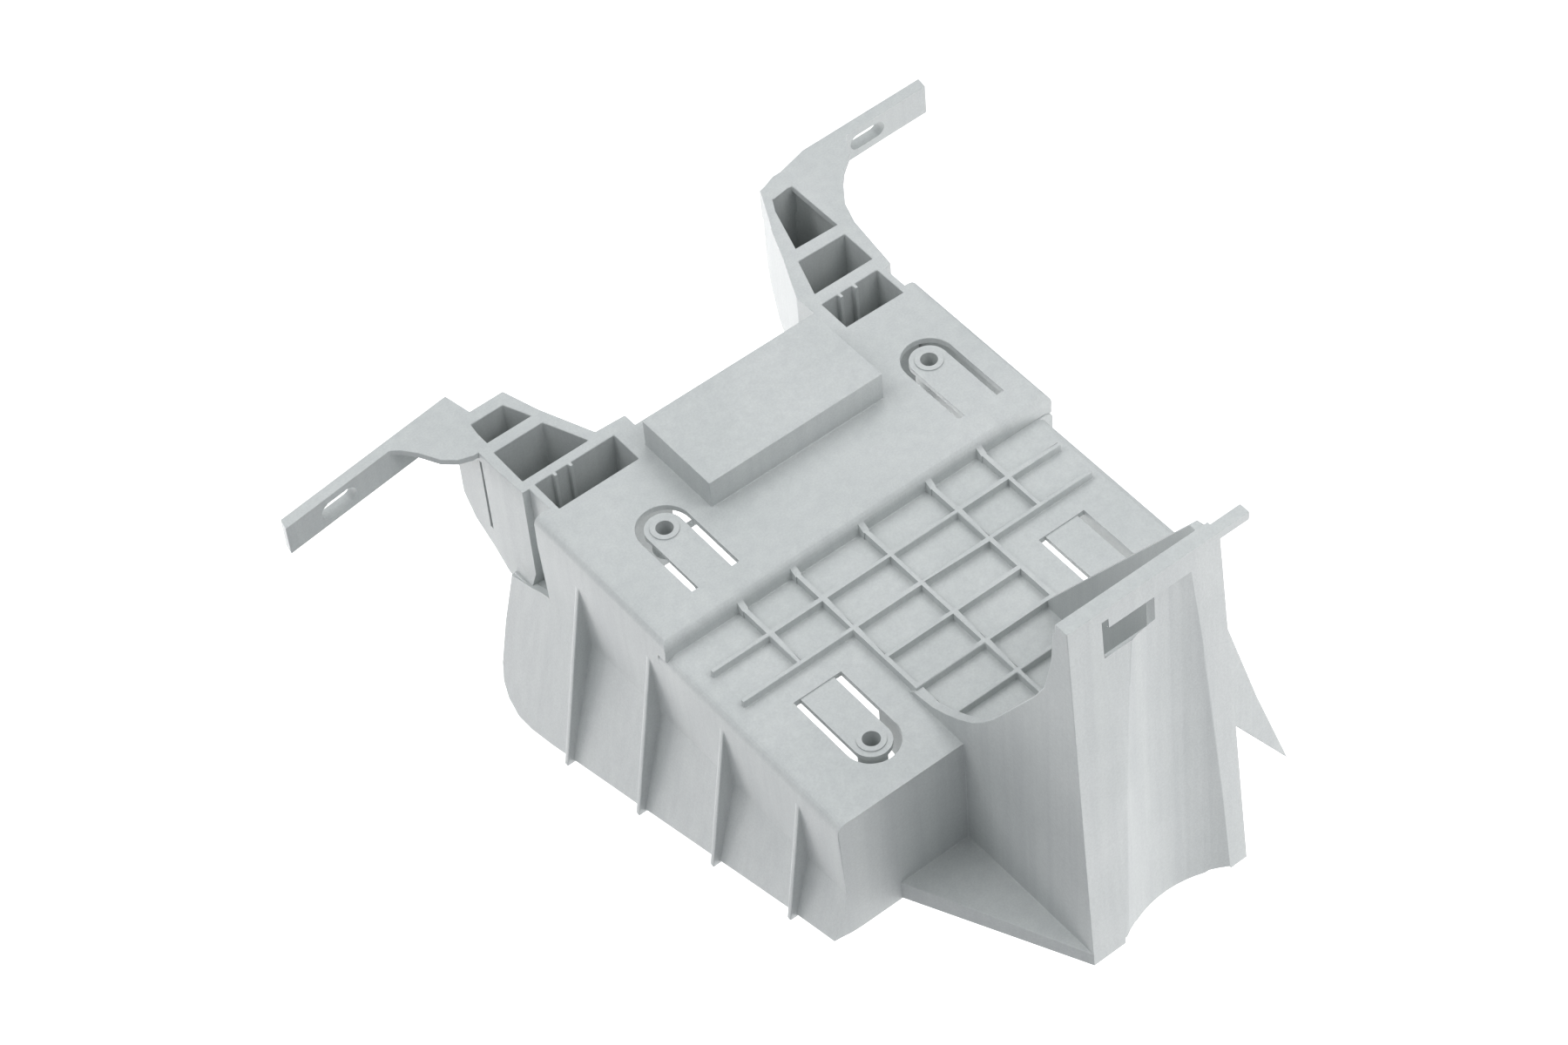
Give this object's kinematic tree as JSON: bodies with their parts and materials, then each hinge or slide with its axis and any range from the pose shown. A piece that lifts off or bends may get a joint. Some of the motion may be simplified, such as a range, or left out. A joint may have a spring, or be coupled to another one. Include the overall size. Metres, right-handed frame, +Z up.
{
  "type": "sensor bracket",
  "caption": "Moulded plastic bracket for a sensor: ribbed deck with spring tabs, skirted sides, two hollow arms with slotted plates and a tall front column.",
  "frame": {"origin": "midway between the centres of the two fixing slots in the side plates", "axes": "+X to the right seen from the column, +Y to the back towards the arms, +Z up along the deck's normal, with the ribs on top"},
  "size_m": [0.266, 0.2722, 0.181],
  "materials": {
    "moulded_plastic": "matte, light grey, finely textured"
  },
  "bodies": {
    "root": {"bracket": "moulded_plastic"}
  },
  "joints": []
}
